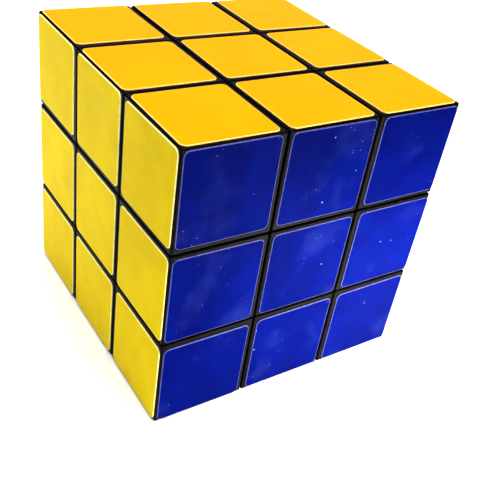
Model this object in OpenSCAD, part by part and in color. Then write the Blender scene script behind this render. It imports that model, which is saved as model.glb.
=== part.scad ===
// Twisty cube puzzle with three layers each way, solved.
// Twenty-six hollow pieces turn in layers round a six-armed core.
// Origin at the centre of the core, +Z up. The front face looks along -Y and the right face along +X.

/* [Cube] */
// Width across the plastic faces, without the stickers
cube_w = 57; // [56:0.5:58]
// Gap between neighbouring pieces
piece_gap = 0.3; // [0.2:0.05:0.4]
// Chamfer along the outside edges of a piece
edge_chamfer = 0.5; // [0.3:0.1:0.5]
// Wall of the hollow pieces
wall_t = 1.5; // [1.2:0.1:1.8]
// Gap where two mouldings of one piece clip together
clip_gap = 0.05; // [0.03:0.01:0.08]

/* [Stickers] */
// Distance from the edges of a middle piece's face to its sticker
sticker_margin = 0.55; // [0.5:0.05:1.5]
// Corner radius of a sticker
sticker_r = 1.1; // [0.5:0.1:3]
// Thickness of a sticker
sticker_t = 0.2; // [0.1:0.05:0.3]

/* [Feet] */
// Radius of the spherical track between the feet and the outer shells
track_r = 20; // [19.75:0.05:20.25]
// Radius of the hollow inside the feet, round the core
foot_inner_r = 13.3; // [12.5:0.1:13.6]
// How far the neck of a foot reaches past the track
neck_reach = 1; // [0.6:0.1:1.2]

/* [Centre pieces] */
// Height of the lower end of a centre stem above the middle of the core
stem_z = 11.3; // [11.3:0.1:11.5]
// Thickness of the stem floor that the spring presses on
stem_floor_t = 1.5; // [1.2:0.1:1.5]
// Bore of the spring well
well_d = 6.4; // [6.2:0.1:6.6]
// Screw hole in the stem floor
stem_hole_d = 3; // [2.9:0.1:3.2]
// Depth of the rim under the lid
lid_rim_h = 2.2; // [1.5:0.1:3]
// Thickness of the rim under the lid
lid_rim_t = 1.2; // [1:0.1:1.5]

/* [Core] */
// Diameter of the hub
hub_d = 15; // [13:0.5:17]
// Diameter of an arm
arm_d = 7.2; // [6.6:0.1:8]
// Distance from the middle of the core to the end of an arm
arm_reach = 11; // [10.6:0.1:11]
// Bore for the screw in each arm
arm_bore_d = 2.5; // [2.45:0.05:2.6]
// Depth of that bore
arm_bore_depth = 7; // [6.5:0.5:7.5]

/* [Screws, washers and springs] */
// Diameter over the screw thread
screw_d = 2.4; // [2:0.1:2.4]
// Diameter at the root of the thread
screw_root_d = 1.9; // [1.6:0.1:2]
// Pitch of the thread
thread_pitch = 1; // [0.8:0.1:1.2]
// Height of the lower end of the screw above the middle of the core
screw_tip_z = 4.8; // [4.6:0.1:6]
// Height of the underside of the screw head
screw_head_z = 19.5; // [19.3:0.1:20]
// Diameter of the screw head
screw_head_d = 5.2; // [4.6:0.1:5.4]
// Height of the screw head
screw_head_h = 2; // [1.6:0.1:2.4]
// Width of the cross recess in the head
recess_w = 0.7; // [0.5:0.1:0.9]
// Outside diameter of a washer
washer_d = 5.8; // [5.2:0.1:5.8]
// Thickness of a washer
washer_t = 0.5; // [0.4:0.1:0.6]
// Wire diameter of a spring
wire_d = 0.6; // [0.5:0.05:0.6]
// Diameter of a spring at the middle of its wire
coil_d = 4.6; // [4.3:0.1:4.8]
// Turns in a spring, with the closed turn at each end
coil_turns = 6; // [5:1:6]

/* [Hidden] */

half_w = cube_w / 2;
cell = cube_w / 3;
half_gap = piece_gap / 2;
// Outside the track the layers part at the cell boundaries, and inside it at half that distance
outer_cut = cell / 2;
inner_cut = cell / 4;
// Low and high sides of a middle cell and of an outside cell, outside the track
mid_w = outer_cut - half_gap;
out_lo = outer_cut + half_gap;
// The same for the feet, inside the track
foot_mid_w = inner_cut - half_gap;
foot_lo = inner_cut + half_gap;
// Middle of an outside piece's face, and the width of every sticker
outer_mid = (out_lo + half_w) / 2;
sticker_w = 2 * (mid_w - sticker_margin);
track_out_r = track_r + half_gap;
track_in_r = track_r - half_gap;
lid_z = half_w - wall_t;
well_z = stem_z + stem_floor_t;
coil_z = well_z + piece_gap + wire_d / 2;
coil_h = screw_head_z - washer_t - clip_gap - wire_d / 2 - coil_z;

PLASTIC = [0.03, 0.03, 0.035];
STEEL = [0.72, 0.73, 0.75];
// Sticker colours along each axis: low side, then high side
FACE_COLOURS = [
    [[0.95, 0.86, 0.13], [0.95, 0.95, 0.93]],
    [[0.02, 0.05, 0.62], [0.02, 0.5, 0.16]],
    [[0.78, 0.06, 0.05], [1, 0.72, 0.02]]
];
// Turns that carry +Z to each face of the cube: right, left, back, front, top, bottom
FACE_TURNS = [[0, 90, 0], [0, -90, 0], [-90, 0, 0], [90, 0, 0], [0, 0, 0], [180, 0, 0]];
// Turns that carry an edge piece's run from X to each axis
EDGE_TURNS = [[0, 0, 0], [0, 0, -90], [0, 90, 0]];

ROUND = 96;
RECESS_DEPTH = 0.9;
// Reach of the recess from the axis, as a share of the head's diameter
RECESS_REACH = 0.3;
// Height of a thread's root and crest in each pitch, as shares of the pitch
ROOT_AT = 0.4;
CREST_AT = 0.8;
// The head's side ends at this share of its height, and its top has this share of its radius
HEAD_SIDE = 0.6;
HEAD_TOP = 0.75;
// Closed end turns of a spring rise by this many times the wire, and the turns between share the rest
CLOSED_TURN = 1.05;
closed_rise = CLOSED_TURN * wire_d;
WIRE_SIDES = 6;
TURN_STEPS = 12;
CORNER_STEPS = 4;
OVER = 1;

// A box between two corners
module block(lo, hi) translate(lo) cube(hi - lo);

// A rectangle from the origin with its corners cut off
module cut_rectangle(w, h) {
    c = edge_chamfer;
    polygon([[c, 0], [w - c, 0], [w, c], [w, h - c], [w - c, h], [c, h], [0, h - c], [0, c]]);
}

// A box between two corners with every edge chamfered
module chamfered_block(lo, hi) {
    size = hi - lo;
    translate(lo) intersection() {
        linear_extrude(size.z) cut_rectangle(size.x, size.y);
        rotate([90, 0, 90]) linear_extrude(size.x) cut_rectangle(size.y, size.z);
        translate([0, size.y, 0]) rotate([90, 0, 0]) linear_extrude(size.y) cut_rectangle(size.x, size.z);
    }
}

// Corner and edge pieces share one construction. It fills the cell from lo to hi outside the track,
// and foot_from to foot_to inside it, and the neck joins the two where both are present.
module neck(foot_from, foot_to, lo, grow) {
    intersection() {
        block(
            [for (i = [0:2]) max(foot_from[i], lo[i]) - grow],
            [for (i = [0:2]) min(foot_to[i], half_w) + grow]
        );
        sphere(track_r + neck_reach + grow, $fn = ROUND);
    }
}

// The outside moulding, open towards the core
module shell(lo, hi, foot_from, foot_to) {
    difference() {
        chamfered_block(lo, hi);
        sphere(track_out_r, $fn = ROUND);
        block([for (v = lo) v + wall_t], [for (v = hi) v - wall_t]);
        neck(foot_from, foot_to, lo, clip_gap);
    }
}

// The inside moulding: a dome that closes the shell, with the neck and the foot under it
module foot(lo, hi, foot_from, foot_to) {
    inset = wall_t + clip_gap;
    difference() {
        intersection() {
            block([for (v = lo) v + inset], [for (v = hi) v - inset]);
            sphere(track_out_r + wall_t, $fn = ROUND);
        }
        sphere(track_out_r, $fn = ROUND);
    }
    neck(foot_from, foot_to, lo, 0);
    difference() {
        intersection() {
            block(foot_from, foot_to);
            sphere(track_in_r, $fn = ROUND);
        }
        sphere(foot_inner_r, $fn = ROUND);
    }
}

// The corner piece of the +X +Y +Z corner
module corner_mouldings() {
    lo = [out_lo, out_lo, out_lo];
    hi = [half_w, half_w, half_w];
    foot_from = [foot_lo, foot_lo, foot_lo];
    shell(lo, hi, foot_from, [track_r, track_r, track_r]);
    foot(lo, hi, foot_from, [track_r, track_r, track_r]);
}

// The edge piece of the +Y +Z edge
module edge_mouldings() {
    lo = [-mid_w, out_lo, out_lo];
    hi = [mid_w, half_w, half_w];
    foot_from = [-foot_mid_w, foot_lo, foot_lo];
    shell(lo, hi, foot_from, [foot_mid_w, track_r, track_r]);
    foot(lo, hi, foot_from, [foot_mid_w, track_r, track_r]);
}

// The centre block of the +Z face, before its lid is cut off
module centre_block() {
    difference() {
        chamfered_block([-mid_w, -mid_w, out_lo], [mid_w, mid_w, half_w]);
        sphere(track_out_r, $fn = ROUND);
    }
}

// The body of the +Z centre piece: stem, spring well and the hollow under the lid
module centre_body() {
    inner_w = mid_w - wall_t;
    difference() {
        union() {
            intersection() {
                centre_block();
                block([-cell, -cell, 0], [cell, cell, lid_z]);
            }
            translate([0, 0, stem_z])
                cylinder(r = foot_mid_w, h = track_r + wall_t / 2 - stem_z, $fn = ROUND);
        }
        difference() {
            block([-inner_w, -inner_w, out_lo], [inner_w, inner_w, half_w]);
            sphere(track_out_r + wall_t, $fn = ROUND);
        }
        translate([0, 0, well_z]) cylinder(d = well_d, h = half_w, $fn = ROUND);
        translate([0, 0, stem_z - OVER])
            cylinder(d = stem_hole_d, h = stem_floor_t + 2 * OVER, $fn = ROUND);
    }
}

// The lid of the +Z centre piece, with a rim that locates it in the body
module centre_lid() {
    rim_w = mid_w - wall_t - clip_gap;
    hole_w = rim_w - lid_rim_t;
    intersection() {
        centre_block();
        block([-cell, -cell, lid_z + clip_gap], [cell, cell, half_w + OVER]);
    }
    difference() {
        block([-rim_w, -rim_w, lid_z - lid_rim_h], [rim_w, rim_w, lid_z + wall_t / 2]);
        block([-hole_w, -hole_w, 0], [hole_w, hole_w, lid_z + clip_gap]);
    }
}

// Pieces are symmetric, so a mirrored copy is the same moulding
module mirror_to(p) {
    mirror([p.x < 0 ? 1 : 0, 0, 0])
        mirror([0, p.y < 0 ? 1 : 0, 0])
            mirror([0, 0, p.z < 0 ? 1 : 0])
                children();
}

function face_index(p) = p.x > 0 ? 0 : p.x < 0 ? 1 : p.y > 0 ? 2 : p.y < 0 ? 3 : p.z > 0 ? 4 : 5;
function run_axis(p) = p.x == 0 ? 0 : p.y == 0 ? 1 : 2;

module corner_piece(p) color(PLASTIC) mirror_to(p) corner_mouldings();

module edge_piece(p) color(PLASTIC) mirror_to(p) rotate(EDGE_TURNS[run_axis(p)]) edge_mouldings();

module centre_piece(p) color(PLASTIC) rotate(FACE_TURNS[face_index(p)]) {
    centre_body();
    centre_lid();
}

// Points of a rounded square, worked out corner by corner
function rounded_square(w, r) = [
    for (q = [0:3], s = [0:CORNER_STEPS])
        let (turn = q * 90 + s * 90 / CORNER_STEPS, mid = q * 90 + 45, reach = (w / 2 - r) * sqrt(2))
        [reach * cos(mid) + r * cos(turn), reach * sin(mid) + r * sin(turn)]
];

// One sticker on the +Z face
module sticker() translate([0, 0, half_w])
    linear_extrude(sticker_t) polygon(rounded_square(sticker_w, sticker_r));

// One sticker on each outside face of the piece in cell p
module stickers(p) {
    for (axis = [0:2]) {
        if (p[axis] != 0) {
            high = p[axis] > 0 ? 1 : 0;
            shift = [for (i = [0:2]) i == axis ? 0 : p[i] * outer_mid];
            color(FACE_COLOURS[axis][high])
                translate(shift) rotate(FACE_TURNS[2 * axis + 1 - high]) sticker();
        }
    }
}

module on_each_face() for (turn = FACE_TURNS) rotate(turn) children();

// The six-armed core, with a screw bore down each arm
module core() color(PLASTIC) difference() {
    union() {
        sphere(d = hub_d, $fn = ROUND);
        on_each_face() cylinder(d = arm_d, h = arm_reach, $fn = ROUND);
    }
    on_each_face() translate([0, 0, arm_reach - arm_bore_depth])
        cylinder(d = arm_bore_d, h = arm_bore_depth + OVER, $fn = ROUND);
}

// Outline of one screw from its axis: pointed tip, ridged thread, plain shank and pan head
function screw_outline() = let (
    threads = floor((arm_reach - screw_tip_z) / thread_pitch),
    shank_r = screw_d / 2,
    root_r = screw_root_d / 2,
    head_r = screw_head_d / 2
) concat(
    [[0, screw_tip_z]],
    [for (i = [0:threads - 1]) each [
        [root_r, screw_tip_z + thread_pitch * (i + ROOT_AT)],
        [shank_r, screw_tip_z + thread_pitch * (i + CREST_AT)]
    ]],
    [
        [shank_r, screw_head_z],
        [head_r, screw_head_z],
        [head_r, screw_head_z + screw_head_h * HEAD_SIDE],
        [head_r * HEAD_TOP, screw_head_z + screw_head_h],
        [0, screw_head_z + screw_head_h]
    ]
);

module cross_recess() {
    reach = screw_head_d * RECESS_REACH;
    top = screw_head_z + screw_head_h;
    for (a = [0, 90]) rotate([0, 0, a])
        block([-reach, -recess_w / 2, top - RECESS_DEPTH], [reach, recess_w / 2, top + OVER]);
}

module core_screws() color(STEEL) on_each_face() difference() {
    rotate_extrude($fn = ROUND) polygon(screw_outline());
    cross_recess();
}

module spring_washers() color(STEEL) on_each_face() translate([0, 0, screw_head_z - washer_t])
    difference() {
        cylinder(d = washer_d, h = washer_t - clip_gap, $fn = ROUND);
        translate([0, 0, -OVER]) cylinder(d = screw_d + piece_gap, h = washer_t + 2 * OVER, $fn = ROUND);
    }

// Height of the wire after some turns: flat at both ends, even between
function wire_z(turns) =
    turns < 1 ? coil_z + closed_rise * turns
    : turns > coil_turns - 1 ? coil_z + coil_h - closed_rise * (coil_turns - turns)
    : coil_z + closed_rise + (coil_h - 2 * closed_rise) * (turns - 1) / (coil_turns - 2);

// One ring of points round the wire after some turns
function wire_ring(turns) = [
    for (k = [0:WIRE_SIDES - 1])
        let (side = 360 * k / WIRE_SIDES, out = coil_d / 2 + wire_d / 2 * cos(side))
        [out * cos(360 * turns), out * sin(360 * turns), wire_z(turns) + wire_d / 2 * sin(side)]
];

// A coil spring swept round the Z axis
module spring() {
    rings = coil_turns * TURN_STEPS;
    n = WIRE_SIDES;
    points = [for (i = [0:rings]) each wire_ring(i / TURN_STEPS)];
    sides = [
        for (i = [0:rings - 1], k = [0:n - 1])
            let (a = i * n + k, b = i * n + (k + 1) % n)
            each [[a, b, b + n], [a, b + n, a + n]]
    ];
    first_end = [for (k = [n - 1:-1:0]) k];
    last_end = [for (k = [0:n - 1]) rings * n + k];
    polyhedron(points, concat(sides, [first_end, last_end]));
}

module tension_springs() color(STEEL) on_each_face() spring();

// Pieces, by the cell each fills: -1, 0 or 1 along X (left to right), Y (front to back) and Z
module centre_top() centre_piece([0, 0, 1]);
module centre_front() centre_piece([0, -1, 0]);
module centre_left() centre_piece([-1, 0, 0]);
module centre_right() centre_piece([1, 0, 0]);
module centre_back() centre_piece([0, 1, 0]);
module centre_bottom() centre_piece([0, 0, -1]);
module edge_top_front() edge_piece([0, -1, 1]);
module edge_top_left() edge_piece([-1, 0, 1]);
module edge_top_right() edge_piece([1, 0, 1]);
module edge_top_back() edge_piece([0, 1, 1]);
module edge_front_left() edge_piece([-1, -1, 0]);
module edge_front_right() edge_piece([1, -1, 0]);
module edge_back_left() edge_piece([-1, 1, 0]);
module edge_back_right() edge_piece([1, 1, 0]);
module edge_bottom_front() edge_piece([0, -1, -1]);
module edge_bottom_left() edge_piece([-1, 0, -1]);
module edge_bottom_right() edge_piece([1, 0, -1]);
module edge_bottom_back() edge_piece([0, 1, -1]);
module corner_top_front_left() corner_piece([-1, -1, 1]);
module corner_top_front_right() corner_piece([1, -1, 1]);
module corner_top_back_left() corner_piece([-1, 1, 1]);
module corner_top_back_right() corner_piece([1, 1, 1]);
module corner_bottom_front_left() corner_piece([-1, -1, -1]);
module corner_bottom_front_right() corner_piece([1, -1, -1]);
module corner_bottom_back_left() corner_piece([-1, 1, -1]);
module corner_bottom_back_right() corner_piece([1, 1, -1]);

// Stickers, by the cell of the piece that they are on
module stickers_centre_top() stickers([0, 0, 1]);
module stickers_centre_front() stickers([0, -1, 0]);
module stickers_centre_left() stickers([-1, 0, 0]);
module stickers_centre_right() stickers([1, 0, 0]);
module stickers_centre_back() stickers([0, 1, 0]);
module stickers_centre_bottom() stickers([0, 0, -1]);
module stickers_edge_top_front() stickers([0, -1, 1]);
module stickers_edge_top_left() stickers([-1, 0, 1]);
module stickers_edge_top_right() stickers([1, 0, 1]);
module stickers_edge_top_back() stickers([0, 1, 1]);
module stickers_edge_front_left() stickers([-1, -1, 0]);
module stickers_edge_front_right() stickers([1, -1, 0]);
module stickers_edge_back_left() stickers([-1, 1, 0]);
module stickers_edge_back_right() stickers([1, 1, 0]);
module stickers_edge_bottom_front() stickers([0, -1, -1]);
module stickers_edge_bottom_left() stickers([-1, 0, -1]);
module stickers_edge_bottom_right() stickers([1, 0, -1]);
module stickers_edge_bottom_back() stickers([0, 1, -1]);
module stickers_corner_top_front_left() stickers([-1, -1, 1]);
module stickers_corner_top_front_right() stickers([1, -1, 1]);
module stickers_corner_top_back_left() stickers([-1, 1, 1]);
module stickers_corner_top_back_right() stickers([1, 1, 1]);
module stickers_corner_bottom_front_left() stickers([-1, -1, -1]);
module stickers_corner_bottom_front_right() stickers([1, -1, -1]);
module stickers_corner_bottom_back_left() stickers([-1, 1, -1]);
module stickers_corner_bottom_back_right() stickers([1, 1, -1]);

core();
core_screws();
spring_washers();
tension_springs();
centre_top();
centre_front();
centre_left();
centre_right();
centre_back();
centre_bottom();
edge_top_front();
edge_top_left();
edge_top_right();
edge_top_back();
edge_front_left();
edge_front_right();
edge_back_left();
edge_back_right();
edge_bottom_front();
edge_bottom_left();
edge_bottom_right();
edge_bottom_back();
corner_top_front_left();
corner_top_front_right();
corner_top_back_left();
corner_top_back_right();
corner_bottom_front_left();
corner_bottom_front_right();
corner_bottom_back_left();
corner_bottom_back_right();
stickers_centre_top();
stickers_centre_front();
stickers_centre_left();
stickers_centre_right();
stickers_centre_back();
stickers_centre_bottom();
stickers_edge_top_front();
stickers_edge_top_left();
stickers_edge_top_right();
stickers_edge_top_back();
stickers_edge_front_left();
stickers_edge_front_right();
stickers_edge_back_left();
stickers_edge_back_right();
stickers_edge_bottom_front();
stickers_edge_bottom_left();
stickers_edge_bottom_right();
stickers_edge_bottom_back();
stickers_corner_top_front_left();
stickers_corner_top_front_right();
stickers_corner_top_back_left();
stickers_corner_top_back_right();
stickers_corner_bottom_front_left();
stickers_corner_bottom_front_right();
stickers_corner_bottom_back_left();
stickers_corner_bottom_back_right();
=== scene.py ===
import itertools
import math
import random

import bmesh
import bpy
from mathutils import Matrix, Vector


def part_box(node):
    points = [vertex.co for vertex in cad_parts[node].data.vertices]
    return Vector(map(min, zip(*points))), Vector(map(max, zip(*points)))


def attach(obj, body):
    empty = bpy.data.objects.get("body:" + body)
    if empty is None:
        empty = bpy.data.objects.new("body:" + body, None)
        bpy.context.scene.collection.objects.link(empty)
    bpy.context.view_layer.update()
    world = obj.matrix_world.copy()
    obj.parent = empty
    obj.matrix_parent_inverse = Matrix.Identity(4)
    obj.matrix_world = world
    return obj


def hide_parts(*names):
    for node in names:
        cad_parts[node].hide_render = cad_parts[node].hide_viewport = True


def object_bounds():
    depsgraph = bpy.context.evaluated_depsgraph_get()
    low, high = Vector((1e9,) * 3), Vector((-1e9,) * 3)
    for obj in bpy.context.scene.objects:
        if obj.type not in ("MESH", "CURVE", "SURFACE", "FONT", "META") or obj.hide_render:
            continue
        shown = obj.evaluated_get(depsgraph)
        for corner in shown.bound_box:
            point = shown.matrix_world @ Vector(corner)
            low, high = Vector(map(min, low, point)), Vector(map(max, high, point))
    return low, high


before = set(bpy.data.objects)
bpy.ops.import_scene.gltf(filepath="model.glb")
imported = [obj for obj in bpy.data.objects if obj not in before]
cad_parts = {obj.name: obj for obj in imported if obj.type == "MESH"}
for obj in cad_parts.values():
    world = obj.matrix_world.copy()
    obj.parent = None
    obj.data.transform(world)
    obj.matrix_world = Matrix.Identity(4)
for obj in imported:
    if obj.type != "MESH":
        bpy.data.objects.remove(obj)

# The scene is in metres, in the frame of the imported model: origin at the middle of the core, +Z up,
# blue face towards -Y and yellow face towards -X.
CAD_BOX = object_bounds()
MM = 0.001

# ---------------------------------------------------------------------------------------------
# Sizes, taken from the frame
# ---------------------------------------------------------------------------------------------
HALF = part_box("corner_top_back_right")[1].z
CELL = 2 * HALF / 3
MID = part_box("centre_top")[1].x
HALF_GAP = CELL / 2 - MID
OUT_LO = CELL / 2 + HALF_GAP
FOOT_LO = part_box("corner_top_back_right")[0].x
FOOT_MID = CELL / 4 - HALF_GAP
STICKER_LO, STICKER_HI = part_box("stickers_centre_top")
STICKER_W = STICKER_HI.x - STICKER_LO.x
STICKER_T = STICKER_HI.z - STICKER_LO.z
OUTER_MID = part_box("stickers_corner_top_back_right")[0].x + STICKER_W / 2
STEM_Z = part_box("centre_top")[0].z
FLOOR_Z = CAD_BOX[0].z

# Sizes that the boxes don't show, the same as in the CAD model
TRACK_R = 20 * MM
FOOT_INNER_R = 13.3 * MM
NECK_REACH = 1 * MM
WALL = 1.5 * MM
CLIP_GAP = 0.05 * MM
WELL_R = 3.2 * MM
STEM_FLOOR = 1.5 * MM
STEM_HOLE_R = 1.5 * MM
LID_RIM_H = 2.2 * MM
LID_RIM_T = 1.2 * MM
SCREW_TIP = 4.8 * MM
SCREW_CREST_R = 1.2 * MM
SCREW_ROOT_R = 0.95 * MM
THREAD_TOP = 11 * MM
THREAD_PITCH = 1 * MM
HEAD_Z = 19.5 * MM
HEAD_R = 2.6 * MM
HEAD_H = 2 * MM
RECESS_W = 0.7 * MM
RECESS_DEPTH = 0.9 * MM
WASHER_T = 0.5 * MM
WIRE_R = 0.3 * MM
COIL_R = 2.3 * MM
COIL_TURNS = 6

# Softness that only the looks have. EDGE_SOFT is for every other sharp edge of a moulding.
ROUNDING = 0.35 * MM
FOOT_ROUNDING = 0.35 * MM
HOLLOW_ROUNDING = 0.4 * MM
EDGE_SOFT = 0.12 * MM
SHARP_ANGLE = math.radians(35)

# Points closer than this are joined after a cut, which would otherwise leave slivers
MERGE = 0.0001 * MM

# Stickers: their rounded corners and rims, the flat lip inside the rim (rim and lip carry a paler colour, a
# painted highlight), how far those on outside pieces sit towards the outside edge, and how unevenly they are
# cut and put on
STICKER_CORNER = 1.1 * MM
STICKER_EDGE = 0.13 * MM
STICKER_LIP = 0.02 * MM
STICKER_OUT = 0.3 * MM
STICKER_SLIP = 0.1 * MM
STICKER_TWIST = math.radians(0.4)
STICKER_SHORT = 0.12 * MM
STICKER_SINK = (0.01 * MM, 0.03 * MM)
FACE_RINGS = (0.93, 0.8, 0.55, 0.25)

# The stage
FLOOR_REACH = 3.0
BACKDROP_R = 0.62

SIDES = {(0, -1): "left", (0, 1): "right", (1, -1): "front",
         (1, 1): "back", (2, -1): "bottom", (2, 1): "top"}
COLOURS = {"left": "yellow", "right": "white", "front": "blue",
           "back": "green", "bottom": "red", "top": "orange"}
KINDS = {1: "centre", 2: "edge", 3: "corner"}
CELLS = [p for p in itertools.product((-1, 0, 1), repeat=3) if any(p)]


def node_name(cell):
    """The CAD node of the piece in a cell, such as edge_top_front."""
    words = [SIDES[axis, cell[axis]] for axis in (2, 1, 0) if cell[axis]]
    return "_".join([KINDS[len(words)]] + words)


# ---------------------------------------------------------------------------------------------
# Mesh helpers
# ---------------------------------------------------------------------------------------------
def new_object(name, mesh):
    """Links a new object with this mesh into the scene."""
    obj = bpy.data.objects.new(name, mesh)
    bpy.context.scene.collection.objects.link(obj)
    return obj


def mesh_from(bm, name):
    """Turns a bmesh into a mesh, with its faces pointing outwards."""
    bmesh.ops.recalc_face_normals(bm, faces=bm.faces)
    mesh = bpy.data.meshes.new(name)
    bm.to_mesh(mesh)
    bm.free()
    return mesh


def block(lo, hi, rounding=0.0, segments=4):
    """A box between two corners, with every edge rounded."""
    bm = bmesh.new()
    bmesh.ops.create_cube(bm, size=1.0)
    middle = (Vector(lo) + Vector(hi)) / 2
    size = Vector(hi) - Vector(lo)
    for v in bm.verts:
        v.co = Vector(c * s for c, s in zip(v.co, size)) + middle
    if rounding:
        bmesh.ops.bevel(bm, geom=list(bm.edges), offset=rounding, offset_type="OFFSET", segments=segments,
                        profile=0.5, affect="EDGES", clamp_overlap=True)
    return mesh_from(bm, "block")


def ball(radius, steps=96):
    """A sphere round the middle of the core."""
    bm = bmesh.new()
    bmesh.ops.create_uvsphere(bm, u_segments=steps, v_segments=steps // 2, radius=radius)
    return mesh_from(bm, "ball")


def rod(radius, low, high, steps=64):
    """A cylinder up the Z axis."""
    bm = bmesh.new()
    place = Matrix.Translation((0, 0, (low + high) / 2))
    bmesh.ops.create_cone(bm, cap_ends=True, segments=steps, radius1=radius, radius2=radius,
                          depth=high - low, matrix=place)
    return mesh_from(bm, "rod")


def combine(base, *steps):
    """Applies boolean steps to a mesh. Each step is (operation, mesh)."""
    obj = new_object("work", base)
    tools = []
    for operation, mesh in steps:
        tool = new_object("tool", mesh)
        tools.append(tool)
        modifier = obj.modifiers.new("cut", "BOOLEAN")
        modifier.operation = operation
        modifier.solver = "EXACT"
        modifier.object = tool
    bpy.context.view_layer.update()
    made = bpy.data.meshes.new_from_object(obj.evaluated_get(bpy.context.evaluated_depsgraph_get()))
    for used in [obj] + tools:
        bpy.data.objects.remove(used)
    return made


def softened(mesh, width):
    """The mesh with its sharp edges slightly rounded, and without the slivers that cuts leave."""
    obj = new_object("work", mesh)
    if width:
        bevel = obj.modifiers.new("edges", "BEVEL")
        bevel.width = width
        bevel.segments = 2
        bevel.limit_method = "ANGLE"
        bevel.angle_limit = SHARP_ANGLE
        bevel.use_clamp_overlap = True
    bpy.context.view_layer.update()
    bm = bmesh.new()
    bm.from_object(obj, bpy.context.evaluated_depsgraph_get())
    bpy.data.objects.remove(obj)
    bmesh.ops.remove_doubles(bm, verts=bm.verts, dist=MERGE)
    bmesh.ops.dissolve_degenerate(bm, edges=bm.edges, dist=MERGE)
    return mesh_from(bm, "softened")


def shade(obj, angle=30):
    """Smooth shading that keeps flat faces flat: sharp edges by angle, then normals weighted by area."""
    obj.data.shade_smooth()
    obj.data.set_sharp_from_angle(angle=math.radians(angle))
    weighted = obj.modifiers.new("normals", "WEIGHTED_NORMAL")
    weighted.keep_sharp = True
    weighted.weight = 80


def turns():
    """The 24 turns that map a cube onto itself."""
    for order in itertools.permutations(range(3)):
        for signs in itertools.product((1, -1), repeat=3):
            turn = Matrix.Diagonal((0.0, 0.0, 0.0))
            for row, (column, sign) in enumerate(zip(order, signs)):
                turn[row][column] = float(sign)
            if turn.determinant() > 0:
                yield turn


def turn_between(start, end):
    """A turn of the cube that carries the cell start to the cell end."""
    return next(turn.to_4x4() for turn in turns() if (turn @ Vector(start) - Vector(end)).length < 0.01)


# ---------------------------------------------------------------------------------------------
# Mouldings, each made once and then turned into its cells
# ---------------------------------------------------------------------------------------------
def neck_block(lo, foot_lo, foot_hi, grow):
    """The neck that joins a foot to its shell, and the same shape grown for the hole that it fits."""
    low = [max(a, b) - grow for a, b in zip(lo, foot_lo)]
    high = [min(b, HALF) + grow for b in foot_hi]
    return combine(block(low, high), ("INTERSECT", ball(TRACK_R + NECK_REACH + grow)))


def shell_mesh(lo, hi, foot_lo, foot_hi):
    """The outside moulding of a corner or edge piece, hollow, with its underside cut to the track."""
    hollow = block([v + WALL for v in lo], [v - WALL for v in hi], HOLLOW_ROUNDING, 2)
    return combine(
        block(lo, hi, ROUNDING, 5),
        ("DIFFERENCE", ball(TRACK_R + HALF_GAP)),
        ("DIFFERENCE", hollow),
        ("DIFFERENCE", neck_block(lo, foot_lo, foot_hi, CLIP_GAP)),
    )


def foot_mesh(lo, hi, foot_lo, foot_hi):
    """The inside moulding: a dome that closes the shell, a neck, and the foot that rides in the track."""
    inset = WALL + CLIP_GAP
    dome = combine(
        block([v + inset for v in lo], [v - inset for v in hi]),
        ("INTERSECT", ball(TRACK_R + HALF_GAP + WALL)),
        ("DIFFERENCE", ball(TRACK_R + HALF_GAP)),
    )
    foot = combine(
        block(foot_lo, foot_hi, FOOT_ROUNDING, 3),
        ("INTERSECT", ball(TRACK_R - HALF_GAP)),
        ("DIFFERENCE", ball(FOOT_INNER_R)),
    )
    return combine(neck_block(lo, foot_lo, foot_hi, 0), ("UNION", dome), ("UNION", foot))


def corner_meshes():
    """The shell and the foot of the corner piece at top, back and right."""
    lo, hi = [OUT_LO] * 3, [HALF] * 3
    foot_lo, foot_hi = [FOOT_LO] * 3, [TRACK_R] * 3
    return [shell_mesh(lo, hi, foot_lo, foot_hi), foot_mesh(lo, hi, foot_lo, foot_hi)]


def edge_meshes():
    """The shell and the foot of the edge piece at top and back."""
    lo, hi = [-MID, OUT_LO, OUT_LO], [MID, HALF, HALF]
    foot_lo, foot_hi = [-FOOT_MID, FOOT_LO, FOOT_LO], [FOOT_MID, TRACK_R, TRACK_R]
    return [shell_mesh(lo, hi, foot_lo, foot_hi), foot_mesh(lo, hi, foot_lo, foot_hi)]


def centre_meshes():
    """The body of a centre piece, with its stem and spring well, and its lid."""
    top = HALF - WALL
    inner = MID - WALL
    whole = block([-MID, -MID, OUT_LO], [MID, MID, HALF], ROUNDING, 5)
    below = block([-CELL, -CELL, 0], [CELL, CELL, top])
    hollow = combine(block([-inner, -inner, OUT_LO], [inner, inner, HALF]),
                     ("DIFFERENCE", ball(TRACK_R + HALF_GAP + WALL)))
    body = combine(
        whole.copy(),
        ("INTERSECT", below),
        ("DIFFERENCE", ball(TRACK_R + HALF_GAP)),
        ("UNION", rod(FOOT_MID, STEM_Z, TRACK_R + WALL / 2)),
        ("DIFFERENCE", hollow),
        ("DIFFERENCE", rod(WELL_R, STEM_Z + STEM_FLOOR, HALF)),
        ("DIFFERENCE", rod(STEM_HOLE_R, STEM_Z - MM, STEM_Z + STEM_FLOOR + MM)),
    )
    rim = inner - CLIP_GAP
    bore = rim - LID_RIM_T
    above = block([-CELL, -CELL, top + CLIP_GAP], [CELL, CELL, HALF + MM])
    lid = combine(
        whole,
        ("INTERSECT", above),
        ("UNION", block([-rim, -rim, top - LID_RIM_H], [rim, rim, top + WALL / 2], 0.3 * MM, 2)),
        ("DIFFERENCE", block([-bore, -bore, 0], [bore, bore, top + CLIP_GAP])),
    )
    return [body, lid]


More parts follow.
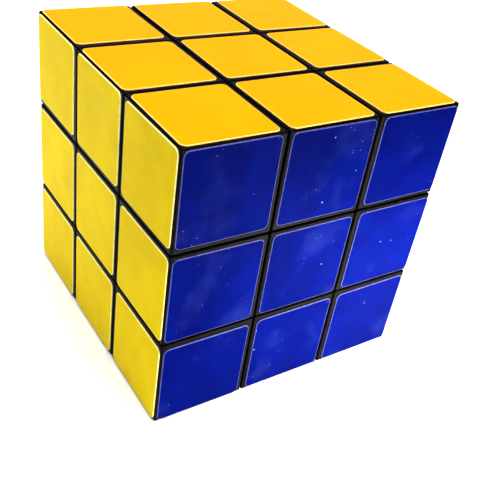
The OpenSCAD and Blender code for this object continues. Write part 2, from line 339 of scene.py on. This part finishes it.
# ---------------------------------------------------------------------------------------------
# Stickers
# ---------------------------------------------------------------------------------------------
def rounded_square(width, radius, steps):
    """Points of a square outline with round corners."""
    reach = (width / 2 - radius) * math.sqrt(2)
    points = []
    for quarter in range(4):
        middle = math.radians(quarter * 90 + 45)
        for step in range(steps + 1):
            turn = math.radians(quarter * 90 + 90 * step / steps)
            points.append((reach * math.cos(middle) + radius * math.cos(turn),
                           reach * math.sin(middle) + radius * math.sin(turn)))
    return points


def sticker_mesh(width, sink):
    """A vinyl square with a rounded rim. The face is material 0 and the rim is material 1.
    The face dips by sink at its middle, so the rim stands a little proud as cut vinyl does."""
    bm = bmesh.new()
    corner_steps, rim_steps = 7, 4
    levels = [(0.0, 0.0), (STICKER_T - STICKER_EDGE, 0.0)]
    for step in range(1, rim_steps + 1):
        turn = math.radians(90 * step / rim_steps)
        levels.append((STICKER_T - STICKER_EDGE * (1 - math.sin(turn)), STICKER_EDGE * (1 - math.cos(turn))))
    levels.append((STICKER_T, STICKER_EDGE + STICKER_LIP))
    rings = []
    for height, inset in levels:
        outline = rounded_square(width - 2 * inset, STICKER_CORNER - inset, corner_steps)
        rings.append([bm.verts.new((x, y, height)) for x, y in outline])
    count = len(rings[0])
    rim_faces = []
    for low, high in zip(rings, rings[1:]):
        for i in range(count):
            j = (i + 1) % count
            rim_faces.append(bm.faces.new((low[i], low[j], high[j], high[i])))
    bm.faces.new(rings[0][::-1])
    inner = rings[-1]
    face_width = width - 2 * (STICKER_EDGE + STICKER_LIP)
    face_radius = STICKER_CORNER - STICKER_EDGE - STICKER_LIP
    for share in FACE_RINGS:
        outline = rounded_square(face_width * share, face_radius * share, corner_steps)
        height = STICKER_T - sink * (1 - share ** 4)
        ring = [bm.verts.new((x, y, height)) for x, y in outline]
        for i in range(count):
            j = (i + 1) % count
            bm.faces.new((inner[i], inner[j], ring[j], ring[i]))
        inner = ring
    bm.faces.new(inner)
    for face in rim_faces:
        face.material_index = 1
    return mesh_from(bm, "sticker")


# ---------------------------------------------------------------------------------------------
# Screws and springs
# ---------------------------------------------------------------------------------------------
def lathe(outline, steps=64):
    """Turns an outline of (radius, height) points round the Z axis."""
    bm = bmesh.new()
    verts = [bm.verts.new((r, 0, z)) for r, z in outline]
    edges = [bm.edges.new(pair) for pair in zip(verts, verts[1:])]
    bmesh.ops.spin(bm, geom=verts + edges, cent=(0, 0, 0), axis=(0, 0, 1), angle=math.tau, steps=steps)
    bmesh.ops.remove_doubles(bm, verts=bm.verts, dist=MM / 1000)
    return mesh_from(bm, "lathe")


def sweep(rings):
    """Joins rings of points into a closed tube."""
    bm = bmesh.new()
    made = [[bm.verts.new(point) for point in ring] for ring in rings]
    count = len(made[0])
    for low, high in zip(made, made[1:]):
        for i in range(count):
            j = (i + 1) % count
            bm.faces.new((low[i], low[j], high[j], high[i]))
    bm.faces.new(made[0][::-1])
    bm.faces.new(made[-1])
    return mesh_from(bm, "sweep")


def screw_mesh():
    """A pan head screw up the Z axis, with a rolled thread and a cross recess. The root of the
    thread is buried in the shank, and its ends run out."""
    dome = []
    for step in range(9):
        turn = math.radians(90 * step / 8)
        dome.append((HEAD_R * (0.62 + 0.38 * math.cos(turn)),
                     HEAD_Z + HEAD_H * (0.45 + 0.55 * math.sin(turn))))
    tip = [(0, SCREW_TIP), (SCREW_ROOT_R * 0.7, SCREW_TIP + 0.25 * MM), (SCREW_ROOT_R, SCREW_TIP + 0.8 * MM)]
    neck = [(SCREW_ROOT_R, THREAD_TOP), (SCREW_CREST_R, THREAD_TOP + 0.3 * MM), (SCREW_CREST_R, HEAD_Z)]
    flange = [(HEAD_R * 0.97, HEAD_Z), (HEAD_R, HEAD_Z + 0.1 * MM)]
    shank = lathe(tip + neck + flange + dome + [(0, HEAD_Z + HEAD_H)])
    slots = []
    reach, top = HEAD_R * 0.6, HEAD_Z + HEAD_H
    for x, y in ((reach, RECESS_W / 2), (RECESS_W / 2, reach)):
        slots.append(("DIFFERENCE", block([-x, -y, top - RECESS_DEPTH], [x, y, top + MM], 0.1 * MM, 2)))
    body = combine(shank, *slots)
    rings = []
    buried = SCREW_ROOT_R * 0.93
    turn_steps = 28
    rise = THREAD_TOP - SCREW_TIP - 0.7 * MM
    total = round(rise / THREAD_PITCH * turn_steps)
    for step in range(total + 1):
        turn = math.tau * step / turn_steps
        z = SCREW_TIP + 0.55 * MM + rise * step / total
        fade = min(1.0, step / turn_steps, (total - step) / turn_steps * 2)
        crest = SCREW_ROOT_R + (SCREW_CREST_R - SCREW_ROOT_R) * fade
        ring = []
        for radius, offset in ((buried, -0.3), (crest, -0.06), (crest, 0.06), (buried, 0.3)):
            ring.append((radius * math.cos(turn), radius * math.sin(turn), z + offset * THREAD_PITCH))
        rings.append(ring)
    bm = bmesh.new()
    bm.from_mesh(body)
    bm.from_mesh(sweep(rings))
    return mesh_from(bm, "screw")


def spring_mesh():
    """A coil spring up the Z axis, between the floor of a spring well and the washer, with closed end turns."""
    low = STEM_Z + STEM_FLOOR + 2 * HALF_GAP + WIRE_R
    high = HEAD_Z - WASHER_T - CLIP_GAP - WIRE_R
    closed = 2.1 * WIRE_R
    open_rise = (high - low - 2 * closed) / (COIL_TURNS - 2)
    rings = []
    turn_steps, wire_steps = 48, 14
    for step in range(COIL_TURNS * turn_steps + 1):
        wound = step / turn_steps
        middle = low + closed + (wound - 1) * open_rise
        z = max(min(middle, high - closed * (COIL_TURNS - wound)), low + closed * wound)
        if wound <= 1:
            z = low + closed * wound
        ring = []
        for side in range(wire_steps):
            around = math.tau * side / wire_steps
            out = COIL_R + WIRE_R * math.cos(around)
            ring.append((out * math.cos(math.tau * wound), out * math.sin(math.tau * wound),
                         z + WIRE_R * math.sin(around)))
        rings.append(ring)
    return sweep(rings)


# ---------------------------------------------------------------------------------------------
# Materials
# ---------------------------------------------------------------------------------------------
class Paint:
    """Short calls for building one node material."""

    def __init__(self, name):
        self.material = bpy.data.materials.new(name)
        self.material.use_nodes = True
        self.tree = self.material.node_tree
        self.tree.nodes.clear()
        self.output = self.add("ShaderNodeOutputMaterial")
        self.shader = self.add("ShaderNodeBsdfPrincipled")
        self.join(self.shader.outputs[0], self.output.inputs["Surface"])
        self.place = self.add("ShaderNodeTexCoord").outputs["Object"]

    def add(self, kind, **settings):
        """Adds a node and sets its properties."""
        node = self.tree.nodes.new(kind)
        for key, value in settings.items():
            setattr(node, key, value)
        return node

    def join(self, output, socket):
        """Links an output to an input."""
        self.tree.links.new(output, socket)

    def set(self, **values):
        """Sets uniform values on the shader's own sockets."""
        for key, value in values.items():
            self.shader.inputs[key.replace("_", " ")].default_value = value

    def stretched(self, scale, rotation=(0, 0, 0)):
        """Coordinates stretched by scale, for marks that run one way."""
        node = self.add("ShaderNodeMapping")
        node.inputs["Scale"].default_value = scale
        node.inputs["Rotation"].default_value = rotation
        self.join(self.place, node.inputs["Vector"])
        return node.outputs["Vector"]

    def noise(self, size, detail=2.0, rough=0.5, place=None, warp=0.0):
        """Noise whose features are about size metres across."""
        node = self.add("ShaderNodeTexNoise")
        node.inputs["Scale"].default_value = 1 / size
        node.inputs["Detail"].default_value = detail
        node.inputs["Roughness"].default_value = rough
        node.inputs["Distortion"].default_value = warp
        self.join(place or self.place, node.inputs["Vector"])
        return node.outputs["Fac"]

    def between(self, value, low, high, out_low=0.0, out_high=1.0):
        """Maps low..high to out_low..out_high, and holds the ends."""
        node = self.add("ShaderNodeMapRange")
        node.inputs["From Min"].default_value = low
        node.inputs["From Max"].default_value = high
        node.inputs["To Min"].default_value = out_low
        node.inputs["To Max"].default_value = out_high
        self.join(value, node.inputs["Value"])
        return node.outputs["Result"]

    def math(self, operation, a, b):
        """One arithmetic step on two values, each a number or an output."""
        node = self.add("ShaderNodeMath", operation=operation)
        for socket, value in zip(node.inputs, (a, b)):
            if isinstance(value, (int, float)):
                socket.default_value = value
            else:
                self.join(value, socket)
        return node.outputs[0]

    def mix(self, amount, a, b):
        """Blends from colour a to colour b, each a tuple or an output."""
        node = self.add("ShaderNodeMix", data_type="RGBA")
        self.join(amount, node.inputs[0])
        for socket, value in ((node.inputs[6], a), (node.inputs[7], b)):
            if isinstance(value, tuple):
                socket.default_value = (*value, 1.0)
            else:
                self.join(value, socket)
        return node.outputs[2]

    def specks(self, size, radius, share):
        """Round specks, one at most in each cell of the given size, present in a share of the cells."""
        node = self.add("ShaderNodeTexVoronoi")
        node.inputs["Scale"].default_value = 1 / size
        self.join(self.place, node.inputs["Vector"])
        dot = self.between(node.outputs["Distance"], radius / size, radius / size * 0.4)
        split = self.add("ShaderNodeSeparateColor")
        self.join(node.outputs["Color"], split.inputs["Color"])
        chosen = self.math("LESS_THAN", split.outputs["Red"], share)
        return self.math("MULTIPLY", dot, chosen)

    def bump(self, height, strength, distance, under=None):
        """Bumps the surface by height, on top of an earlier bump where one is given."""
        node = self.add("ShaderNodeBump")
        node.inputs["Strength"].default_value = strength
        node.inputs["Distance"].default_value = distance
        self.join(height, node.inputs["Height"])
        if under is not None:
            self.join(under, node.inputs["Normal"])
        self.join(node.outputs["Normal"], self.shader.inputs["Normal"])
        return node.outputs["Normal"]


def vinyl(name, colour, dark, pale, dust, dust_share, sheen):
    """Printed gloss vinyl: patchy ink, fine hairlines, smudges, dust specks and a slightly uneven surface."""
    p = Paint(name)
    p.set(Metallic=0.0, IOR=1.5, Specular_IOR_Level=0.03, Specular_Tint=(*sheen, 1.0))
    patches = p.between(p.noise(11 * MM, 3.0, 0.55, warp=0.6), 0.34, 0.66)
    grain = p.between(p.noise(0.35 * MM, 4.0, 0.6), 0.35, 0.7)
    ink = p.mix(patches, dark, colour)
    ink = p.mix(p.math("MULTIPLY", grain, 0.22), ink, pale)
    hair = p.noise(1.0, 3.0, 0.6, place=p.stretched((240, 5200, 900), (0.3, 0.5, 0.7)))
    hairlines = p.between(hair, 0.66, 0.74)
    ink = p.mix(p.math("MULTIPLY", hairlines, 0.12), ink, pale)
    smudges = p.between(p.noise(9 * MM, 3.0, 0.5), 0.56, 0.85)
    ink = p.mix(p.math("MULTIPLY", smudges, dust_share * 0.16), ink, dust)
    specks = p.specks(3 * MM, 0.2 * MM, dust_share)
    clusters = p.between(p.noise(9 * MM, 1.0), 0.5, 0.62)
    fine = p.math("MULTIPLY", p.specks(0.9 * MM, 0.11 * MM, dust_share), clusters)
    dirt = p.math("MAXIMUM", specks, p.math("MULTIPLY", fine, 0.7))
    ink = p.mix(p.math("MULTIPLY", dirt, 0.75), ink, dust)
    p.join(ink, p.shader.inputs["Base Color"])
    smear = p.noise(5 * MM, 4.0, 0.6, warp=1.0)
    gloss = p.between(smear, 0.3, 0.7, 0.27, 0.4)
    gloss = p.math("ADD", gloss, p.math("MULTIPLY", p.math("MAXIMUM", dirt, hairlines), 0.2))
    p.join(gloss, p.shader.inputs["Roughness"])
    waves = p.bump(p.noise(6 * MM, 1.0), 0.25, 0.08 * MM)
    p.bump(p.noise(0.5 * MM, 2.0), 0.18, 0.02 * MM, under=waves)
    return p.material


def vinyl_rim_painted_highlight(name, colour, pale):
    """The cut edge of a sticker, painted mostly in a paler colour: a painted highlight that stands in for the
    thin bright line along each sticker's edge.
    """
    p = Paint(name)
    p.set(Metallic=0.0, IOR=1.5, Specular_IOR_Level=0.3)
    nicks = p.between(p.noise(0.7 * MM, 4.0, 0.65), 0.3, 0.55, 0.35, 1.0)
    # Painted highlight: the rim colour is the ink blended 35 to 100 percent towards the paler rim colour
    p.join(p.mix(nicks, colour, pale), p.shader.inputs["Base Color"])
    p.join(p.between(nicks, 0, 1, 0.25, 0.42), p.shader.inputs["Roughness"])
    p.bump(nicks, 0.3, 0.02 * MM)
    return p.material


def black_plastic(name, base, worn, low_rough, high_rough):
    """Moulded ABS: fine grain, handling marks and a little dust."""
    p = Paint(name)
    p.set(Metallic=0.0, IOR=1.5, Specular_IOR_Level=0.08)
    rub = p.between(p.noise(4 * MM, 5.0, 0.65, warp=0.8), 0.45, 0.75)
    dust = p.specks(1.1 * MM, 0.08 * MM, 0.12)
    skin = p.mix(rub, base, worn)
    skin = p.mix(p.math("MULTIPLY", dust, 0.5), skin, (0.25, 0.24, 0.23))
    p.join(skin, p.shader.inputs["Base Color"])
    grain = p.noise(0.12 * MM, 3.0, 0.6)
    rough = p.between(p.noise(2.5 * MM, 4.0, 0.6), 0.3, 0.7, low_rough, high_rough)
    p.join(p.math("ADD", rough, p.math("MULTIPLY", rub, 0.12)), p.shader.inputs["Roughness"])
    flow = p.bump(p.noise(3 * MM, 1.0), 0.15, 0.04 * MM)
    p.bump(grain, 0.25, 0.01 * MM, under=flow)
    return p.material


def steel(name, base, tint, direction):
    """Zinc plated or drawn steel, with fine marks along its making."""
    p = Paint(name)
    p.set(Metallic=1.0)
    marks = p.noise(1.0, 4.0, 0.6, place=p.stretched(direction))
    stain = p.between(p.noise(1.5 * MM, 3.0), 0.35, 0.7)
    p.join(p.mix(stain, base, tint), p.shader.inputs["Base Color"])
    p.join(p.between(marks, 0.3, 0.7, 0.18, 0.42), p.shader.inputs["Roughness"])
    p.bump(marks, 0.3, 0.01 * MM)
    return p.material


# Ink colours: the usual tone, a deeper patch and a paler grain
INKS = {
    "orange": ((0.84, 0.32, 0.0), (0.81, 0.30, 0.0), (0.9, 0.36, 0.004)),
    "yellow": ((0.70, 0.54, 0.001), (0.62, 0.465, 0.001), (0.76, 0.62, 0.01)),
    "blue": ((0.0, 0.007, 0.14), (0.0, 0.003, 0.095), (0.0, 0.016, 0.19)),
    "red": ((0.62, 0.012, 0.012), (0.52, 0.008, 0.008), (0.75, 0.05, 0.04)),
    "green": ((0.006, 0.30, 0.05), (0.004, 0.25, 0.04), (0.03, 0.42, 0.1)),
    "white": ((0.52, 0.52, 0.51), (0.48, 0.48, 0.47), (0.56, 0.56, 0.55)),
}

# The colour of dust and smudges on each ink, and how thick they lie
DUST = {"orange": (1.0, 0.7, 0.25), "yellow": (0.85, 0.8, 0.4), "blue": (0.4, 0.46, 0.9),
        "red": (0.85, 0.5, 0.45), "green": (0.4, 0.65, 0.45), "white": (0.5, 0.49, 0.46)}
DUST_SHARE = {"orange": 0.12, "yellow": 0.12, "blue": 0.3, "red": 0.12, "green": 0.12, "white": 0.12}

# The paler colour painted on the rim and lip of each sticker: a painted highlight along its cut edge
RIM_HIGHLIGHT_TONES = {"orange": (1.0, 0.66, 0.24), "yellow": (0.92, 0.88, 0.42), "blue": (0.12, 0.115, 0.28),
        "red": (0.9, 0.45, 0.4), "green": (0.35, 0.62, 0.4), "white": (0.6, 0.6, 0.59)}

# The colour that the print gives to reflections
SHEEN = {"orange": (1.0, 0.6, 0.1), "yellow": (1.0, 0.85, 0.15), "blue": (0.12, 0.3, 1.0),
         "red": (1.0, 0.3, 0.25), "green": (0.25, 1.0, 0.4), "white": (1.0, 1.0, 1.0)}

FACE_VINYL = {}
HIGHLIT_RIM_VINYL = {}
for ink, (tone, deep, grain_tone) in INKS.items():
    FACE_VINYL[ink] = vinyl("vinyl_" + ink, tone, deep, grain_tone, DUST[ink], DUST_SHARE[ink], SHEEN[ink])
    # Each sticker's rim and lip take a material whose paler colour is a painted highlight
    HIGHLIT_RIM_VINYL[ink] = vinyl_rim_painted_highlight("vinyl_rim_painted_highlight_" + ink, tone, RIM_HIGHLIGHT_TONES[ink])
SHELL_PLASTIC = black_plastic("shell_abs", (0.004, 0.004, 0.0043), (0.011, 0.011, 0.0116), 0.28, 0.4)
FOOT_PLASTIC = black_plastic("foot_abs", (0.01, 0.01, 0.011), (0.022, 0.022, 0.023), 0.34, 0.48)
CORE_PLASTIC = black_plastic("core_abs", (0.014, 0.014, 0.015), (0.028, 0.028, 0.029), 0.4, 0.55)
SCREW_STEEL = steel("zinc_plate", (0.62, 0.63, 0.66), (0.7, 0.68, 0.6), (900, 900, 5200))
SPRING_STEEL = steel("spring_wire", (0.5, 0.51, 0.54), (0.42, 0.4, 0.38), (3200, 3200, 900))


def paint(obj, *materials):
    """Gives an object its materials. Emptying the slots would reset the material of each face, so
    that is done only where the mesh came with materials."""
    if obj.data.materials:
        obj.data.materials.clear()
    for material in materials:
        obj.data.materials.append(material)


# ---------------------------------------------------------------------------------------------
# The pieces
# ---------------------------------------------------------------------------------------------
random.seed(19)
STARTS = {"corner": (1, 1, 1), "edge": (0, 1, 1), "centre": (0, 0, 1)}
SHARP = {"corner": corner_meshes(), "edge": edge_meshes(), "centre": centre_meshes()}
PARTS = {"corner": ("shell", "foot"), "edge": ("shell", "foot"), "centre": ("body", "lid")}
MESHES = {kind: [softened(mesh, EDGE_SOFT) for mesh in meshes] for kind, meshes in SHARP.items()}


def place_mouldings(cell):
    """The two mouldings of the piece in a cell."""
    name = node_name(cell)
    kind = name.split("_")[0]
    turn = turn_between(STARTS[kind], cell)
    for part, mesh in zip(PARTS[kind], MESHES[kind]):
        mesh = mesh.copy()
        mesh.transform(turn)
        obj = new_object(f"{name}_{part}", mesh)
        paint(obj, FOOT_PLASTIC if part == "foot" else SHELL_PLASTIC)
        shade(obj)
        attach(obj, name)
        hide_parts(name)


def place_stickers(cell):
    """One sticker on each outside face of the piece, put on by hand and so never quite square."""
    name = node_name(cell)
    for axis in (2, 1, 0):
        if not cell[axis]:
            continue
        side = SIDES[axis, cell[axis]]
        ink = COLOURS[side]
        facing = [0, 0, 0]
        facing[axis] = cell[axis]
        middle = Vector(0.0 if i == axis else cell[i] * (OUTER_MID + STICKER_OUT) for i in range(3))
        slip = Vector((random.uniform(-1, 1), random.uniform(-1, 1), 0)) * STICKER_SLIP
        twist = Matrix.Rotation(random.uniform(-STICKER_TWIST, STICKER_TWIST), 4, "Z")
        mesh = sticker_mesh(STICKER_W - random.uniform(0, STICKER_SHORT), random.uniform(*STICKER_SINK))
        mesh.transform(Matrix.Translation(middle) @ turn_between((0, 0, 1), facing)
                       @ Matrix.Translation(slip + Vector((0, 0, HALF))) @ twist)
        obj = new_object(f"sticker_{side}_on_{name}", mesh)
        # The second material, on the rim and lip, is a painted highlight
        paint(obj, FACE_VINYL[ink], HIGHLIT_RIM_VINYL[ink])
        shade(obj, 40)
        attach(obj, name)
        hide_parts("stickers_" + name)


for cell in CELLS:
    place_mouldings(cell)
    place_stickers(cell)

# The core and the washers keep their CAD meshes and only take a material
for node, material in (("core", CORE_PLASTIC), ("spring_washers", SCREW_STEEL)):
    paint(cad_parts[node], material)

# One screw and one spring for each face
HARDWARE = (
    ("screw", softened(screw_mesh(), 0.0), "core_screws", "screw_steel", SCREW_STEEL),
    ("spring", spring_mesh(), "tension_springs", "spring_steel", SPRING_STEEL),
)
for facing in [cell for cell in CELLS if node_name(cell).startswith("centre")]:
    side = node_name(facing).split("_")[1]
    for kind, shape, node, slot, material in HARDWARE:
        mesh = shape.copy()
        mesh.transform(turn_between((0, 0, 1), facing))
        obj = new_object(f"{kind}_{side}", mesh)
        paint(obj, material)
        shade(obj, 40)
        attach(obj, "core")
        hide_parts(node)


# ---------------------------------------------------------------------------------------------
# Floor, light and camera
# ---------------------------------------------------------------------------------------------
def make_floor():
    """A plain pale table top."""
    bm = bmesh.new()
    bmesh.ops.create_grid(bm, x_segments=1, y_segments=1, size=FLOOR_REACH)
    floor = new_object("floor", mesh_from(bm, "floor"))
    floor.location.z = FLOOR_Z
    p = Paint("pale_table")
    p.set(Specular_IOR_Level=0.2)
    tone = p.between(p.noise(60 * MM, 3.0), 0.3, 0.7)
    p.join(p.mix(tone, (0.86, 0.86, 0.86), (0.9, 0.9, 0.9)), p.shader.inputs["Base Color"])
    p.join(p.between(p.noise(4 * MM, 3.0), 0.3, 0.7, 0.6, 0.75), p.shader.inputs["Roughness"])
    paint(floor, p.material)


def make_backdrop():
    """A pale dome round the scene that only the camera sees, so it adds no light and no shadow."""
    bm = bmesh.new()
    bmesh.ops.create_uvsphere(bm, u_segments=48, v_segments=24, radius=BACKDROP_R)
    backdrop = new_object("backdrop", mesh_from(bm, "backdrop"))
    p = Paint("pale_backdrop")
    p.set(Base_Color=(0.0, 0.0, 0.0, 1.0), Roughness=1.0, Specular_IOR_Level=0.0,
          Emission_Color=(1.0, 1.0, 1.0, 1.0), Emission_Strength=1.0)
    paint(backdrop, p.material)
    backdrop.visible_diffuse = backdrop.visible_glossy = backdrop.visible_shadow = False


def soft_light(name, place, aim, size, power):
    """A rectangular soft light that the camera doesn't see. Sizes are in metres and power in watts."""
    data = bpy.data.lights.new(name, "AREA")
    data.shape = "RECTANGLE"
    data.size, data.size_y = size
    data.energy = power
    light = bpy.data.objects.new(name, data)
    light.location = place
    light.rotation_mode = "QUATERNION"
    light.rotation_quaternion = (Vector(aim) - Vector(place)).to_track_quat("-Z", "Y")
    light.visible_camera = False
    bpy.context.scene.collection.objects.link(light)


def make_lights():
    """Two soft lights overhead and one behind. A small one brightens the table in front of the blue
    face, and another the far end of the yellow face."""
    world = bpy.data.worlds.new("studio")
    bpy.context.scene.world = world
    world.use_nodes = True
    background = world.node_tree.nodes["Background"]
    background.inputs["Color"].default_value = (1.0, 1.0, 1.0, 1.0)
    background.inputs["Strength"].default_value = 0.02
    soft_light("overhead", (0.05, 0.25, 0.9), (0, 0, 0), (1.2, 1.0), 7.6)
    soft_light("overhead_front", (0.0, -0.35, 0.8), (0, 0, 0), (0.8, 0.5), 7.0)
    soft_light("back_right", (0.5, 0.8, 0.35), (0, 0, 0), (0.8, 0.5), 0.85)
    soft_light("floor_glow", (0.026, -0.085, 0.0), (0.024, -0.065, FLOOR_Z), (0.05, 0.05), 0.1)
    soft_light("near_left", (-0.12, 0.09, 0.0), (-0.028, 0.02, -0.01), (0.08, 0.04), 0.045)


def make_camera():
    """The camera stands in front of the corner between the yellow and blue faces, close and above."""
    place = Vector((-75.9, -107.2, 77.7)) * MM
    aim = Vector((1.2, -10.4, -9.4)) * MM
    roll = math.radians(10.0)
    ahead = (aim - place).normalized()
    level = ahead.cross(Vector((0, 0, 1))).normalized()
    up = level.cross(ahead)
    right = level * math.cos(roll) + up * math.sin(roll)
    over = up * math.cos(roll) - level * math.sin(roll)
    data = bpy.data.cameras.new("camera")
    data.lens = 52.8
    data.sensor_width = 36
    data.clip_start, data.clip_end = 0.01, 20
    camera = bpy.data.objects.new("camera", data)
    camera.matrix_world = Matrix((right, over, -ahead)).transposed().to_4x4()
    camera.location = place
    bpy.context.scene.collection.objects.link(camera)
    bpy.context.scene.camera = camera


make_floor()
make_backdrop()
make_lights()
make_camera()
bpy.context.scene.view_settings.view_transform = "Standard"
bpy.context.scene.view_settings.look = "High Contrast"
